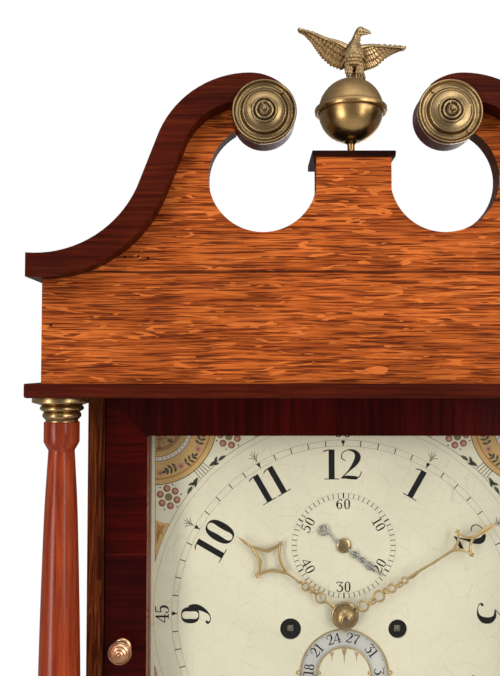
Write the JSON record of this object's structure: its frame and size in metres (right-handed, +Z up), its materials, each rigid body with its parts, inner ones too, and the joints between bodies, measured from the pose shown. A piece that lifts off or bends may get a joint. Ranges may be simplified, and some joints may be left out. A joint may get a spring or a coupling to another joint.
{
  "type": "tall case clock",
  "caption": "Tall case clock with a scrolled hood, brass finial, painted dial, sliding hood, hinged doors, falling weights, pendulum and geared movement.",
  "frame": {"origin": "on the floor, in the middle of the overall width and depth", "axes": "+Z up, -Y out of the dial towards the viewer, +Y towards the wall"},
  "size_m": [0.506, 0.27, 2.2615],
  "materials": {
    "oak": "polished",
    "mahogany": "polished",
    "mahogany_veneer": "polished",
    "turned_wood": "glossy",
    "pine": "unfinished",
    "brass": "aged",
    "gilt_brass": "polished",
    "steel": "polished",
    "iron": "painted",
    "dial_paint": "satin",
    "dark_board": "satin",
    "window_glass": "clear",
    "gut": "plain",
    "bell_metal": "satin"
  },
  "bodies": {
    "case": {"base_boards": "oak", "bracket_feet": "oak", "case_mouldings": "mahogany", "trunk_front_frame": "oak", "trunk_side_boards": "oak", "backboard": "pine", "seatboard": "pine", "trunk_hinges_case": "brass", "dial_plate": "dial_paint", "movement_plates": "brass", "movement_pillars": "brass", "bell": "bell_metal", "line_leads": "gut"},
    "trunk_door": {"trunk_door": "oak", "trunk_hinges_door": "brass", "trunk_lock": "brass"},
    "lock_bolt": {"trunk_lock_bolt": "steel"},
    "door_key": {"trunk_key": "steel"},
    "hood": {"hood_side_boards": "oak", "hood_base_frame": "mahogany", "hood_top_boards": "pine", "hood_columns": "turned_wood", "column_mounts": "brass", "tympanum_board": "oak", "frieze_boards": "oak", "cornice_moulding": "mahogany", "swan_necks": "mahogany", "rosettes": "brass", "block_cap": "mahogany", "finial": "brass", "dial_mask": "dark_board"},
    "hood_door": {"hood_door_frame": "mahogany_veneer", "hood_door_glass": "window_glass", "hood_door_knob": "brass", "hood_door_pivots": "brass"},
    "centre": {"centre_wheel": "brass", "minute_hand": "gilt_brass"},
    "hour": {"hour_hand": "gilt_brass"},
    "minute_wheel": {"minute_wheel": "brass"},
    "third": {"third_wheel": "brass"},
    "seconds": {"escape_wheel": "brass", "seconds_hand": "steel"},
    "going_great": {"going_great_wheel": "brass"},
    "going_barrel": {"going_barrel": "brass"},
    "going_weight": {"going_weight": "iron", "going_line": "gut"},
    "going_pulley": {"going_pulley": "brass"},
    "pendulum": {"pendulum_rod": "steel", "pendulum_bob": "brass"},
    "pallets": {"pallets_and_crutch": "steel"},
    "date": {"date_disc": "dial_paint"},
    "strike_great": {"strike_great_wheel": "brass"},
    "strike_barrel": {"strike_barrel": "brass"},
    "strike_weight": {"strike_weight": "iron", "strike_line": "gut"},
    "strike_pulley": {"strike_pulley": "brass"},
    "pin": {"pin_wheel": "brass"},
    "warning": {"warning_wheel": "brass"},
    "fly": {"fly": "brass"},
    "hammer": {"hammer": "steel"}
  },
  "joints": [
    {"name": "trunk_door_hinge", "type": "hinge", "parent": "case", "child": "trunk_door", "pos_m": [0.1153, -0.073, 1.065], "axis": [0, 0, 1], "range_deg": [0, 100]},
    {"name": "key_turn", "type": "hinge", "parent": "trunk_door", "child": "door_key", "pos_m": [-0.084, -0.06, 1.09], "axis": [0, 1, 0], "range_deg": [0, 180]},
    {"name": "lock_bolt_slide", "type": "slide", "parent": "trunk_door", "child": "lock_bolt", "axis": [-1, 0, 0], "range_m": [0, 0.009]},
    {"name": "hood_slide", "type": "slide", "parent": "case", "child": "hood", "axis": [0, -1, 0], "range_m": [0, 0.25]},
    {"name": "hood_door_hinge", "type": "hinge", "parent": "hood", "child": "hood_door", "pos_m": [0.19, -0.059, 1.768], "axis": [0, 0, 1], "range_deg": [0, 100]},
    {"name": "minute_hand_turn", "type": "hinge", "parent": "case", "child": "centre", "pos_m": [0, 0.03, 1.78], "axis": [0, 1, 0], "continuous": true},
    {"name": "hour_hand_turn", "type": "hinge", "parent": "case", "child": "hour", "pos_m": [0, -0.02, 1.78], "axis": [0, 1, 0], "continuous": true},
    {"name": "minute_wheel_turn", "type": "hinge", "parent": "case", "child": "minute_wheel", "pos_m": [0.0162, -0.012, 1.75194], "axis": [0, 1, 0], "continuous": true},
    {"name": "third_wheel_turn", "type": "hinge", "parent": "case", "child": "third", "pos_m": [0.01223, 0.03, 1.81172], "axis": [0, 1, 0], "continuous": true},
    {"name": "seconds_hand_turn", "type": "hinge", "parent": "case", "child": "seconds", "pos_m": [0, 0.03, 1.8373], "axis": [0, 1, 0], "continuous": true},
    {"name": "going_great_wheel_turn", "type": "hinge", "parent": "case", "child": "going_great", "pos_m": [0.0455, 0.0055, 1.767], "axis": [0, 1, 0], "continuous": true},
    {"name": "going_weight_rise", "type": "slide", "parent": "case", "child": "going_weight", "axis": [0, 0, 1], "range_m": [0, 1], "deforming": ["going_line"]},
    {"name": "going_barrel_turn", "type": "hinge", "parent": "case", "child": "going_barrel", "pos_m": [0.0455, 0.03, 1.767], "axis": [0, 1, 0], "range_deg": [0, 4769.72]},
    {"name": "going_pulley_turn", "type": "hinge", "parent": "going_weight", "child": "going_pulley", "pos_m": [0.04345, 0.027, 0.646], "axis": [0, 1, 0], "range_deg": [0, 2609.35]},
    {"name": "pendulum_swing", "type": "hinge", "parent": "case", "child": "pendulum", "pos_m": [0, 0.0855, 1.8636], "axis": [0, 1, 0], "range_deg": [-3, 3]},
    {"name": "pallets_rock", "type": "hinge", "parent": "case", "child": "pallets", "pos_m": [0, 0.03, 1.8636], "axis": [0, 1, 0], "range_deg": [-3, 3]},
    {"name": "date_disc_turn", "type": "hinge", "parent": "case", "child": "date", "pos_m": [0, -0.025, 1.729], "axis": [0, 1, 0], "continuous": true},
    {"name": "pin_wheel_turn", "type": "hinge", "parent": "case", "child": "pin", "pos_m": [-0.03871, 0.03, 1.80554], "axis": [0, 1, 0], "continuous": true},
    {"name": "strike_great_wheel_turn", "type": "hinge", "parent": "case", "child": "strike_great", "pos_m": [-0.0455, 0.0055, 1.767], "axis": [0, 1, 0], "continuous": true},
    {"name": "warning_wheel_turn", "type": "hinge", "parent": "case", "child": "warning", "pos_m": [-0.03586, 0.03, 1.83259], "axis": [0, 1, 0], "continuous": true},
    {"name": "fly_turn", "type": "hinge", "parent": "case", "child": "fly", "pos_m": [-0.03994, 0.03, 1.85357], "axis": [0, 1, 0], "continuous": true},
    {"name": "strike_weight_rise", "type": "slide", "parent": "case", "child": "strike_weight", "axis": [0, 0, 1], "range_m": [0, 1], "deforming": ["strike_line"]},
    {"name": "strike_barrel_turn", "type": "hinge", "parent": "case", "child": "strike_barrel", "pos_m": [-0.0455, 0.03, 1.767], "axis": [0, 1, 0], "range_deg": [0, 4769.72]},
    {"name": "strike_pulley_turn", "type": "hinge", "parent": "strike_weight", "child": "strike_pulley", "pos_m": [-0.04755, 0.027, 0.646], "axis": [0, 1, 0], "range_deg": [0, 2609.35]},
    {"name": "hammer_lift", "type": "hinge", "parent": "case", "child": "hammer", "pos_m": [-0.0615, 0.03, 1.83], "axis": [0, -1, 0], "range_deg": [0, 12], "stiffness_Nm_per_rad": 0.05, "springref_deg": -5.73}
  ],
  "couplings": [
    {"joint": "lock_bolt_slide", "follows": "key_turn", "m_per_rad": 0.0028648},
    {"joint": "hour_hand_turn", "follows": "minute_hand_turn", "ratio": 0.083333},
    {"joint": "minute_wheel_turn", "follows": "minute_hand_turn", "ratio": -1},
    {"joint": "third_wheel_turn", "follows": "minute_hand_turn", "ratio": -7.5},
    {"joint": "seconds_hand_turn", "follows": "minute_hand_turn", "ratio": 60},
    {"joint": "going_great_wheel_turn", "follows": "minute_hand_turn", "ratio": -0.083333},
    {"joint": "strike_great_wheel_turn", "follows": "pin_wheel_turn", "ratio": -0.10256},
    {"joint": "warning_wheel_turn", "follows": "pin_wheel_turn", "ratio": -7},
    {"joint": "fly_turn", "follows": "pin_wheel_turn", "ratio": 50},
    {"joint": "going_barrel_turn", "follows": "going_weight_rise", "rad_per_m": 83.16},
    {"joint": "going_pulley_turn", "follows": "going_weight_rise", "rad_per_m": 45.455},
    {"joint": "strike_barrel_turn", "follows": "strike_weight_rise", "rad_per_m": 83.16},
    {"joint": "strike_pulley_turn", "follows": "strike_weight_rise", "rad_per_m": 45.455},
    {"joint": "pallets_rock", "follows": "pendulum_swing", "ratio": 1}
  ]
}
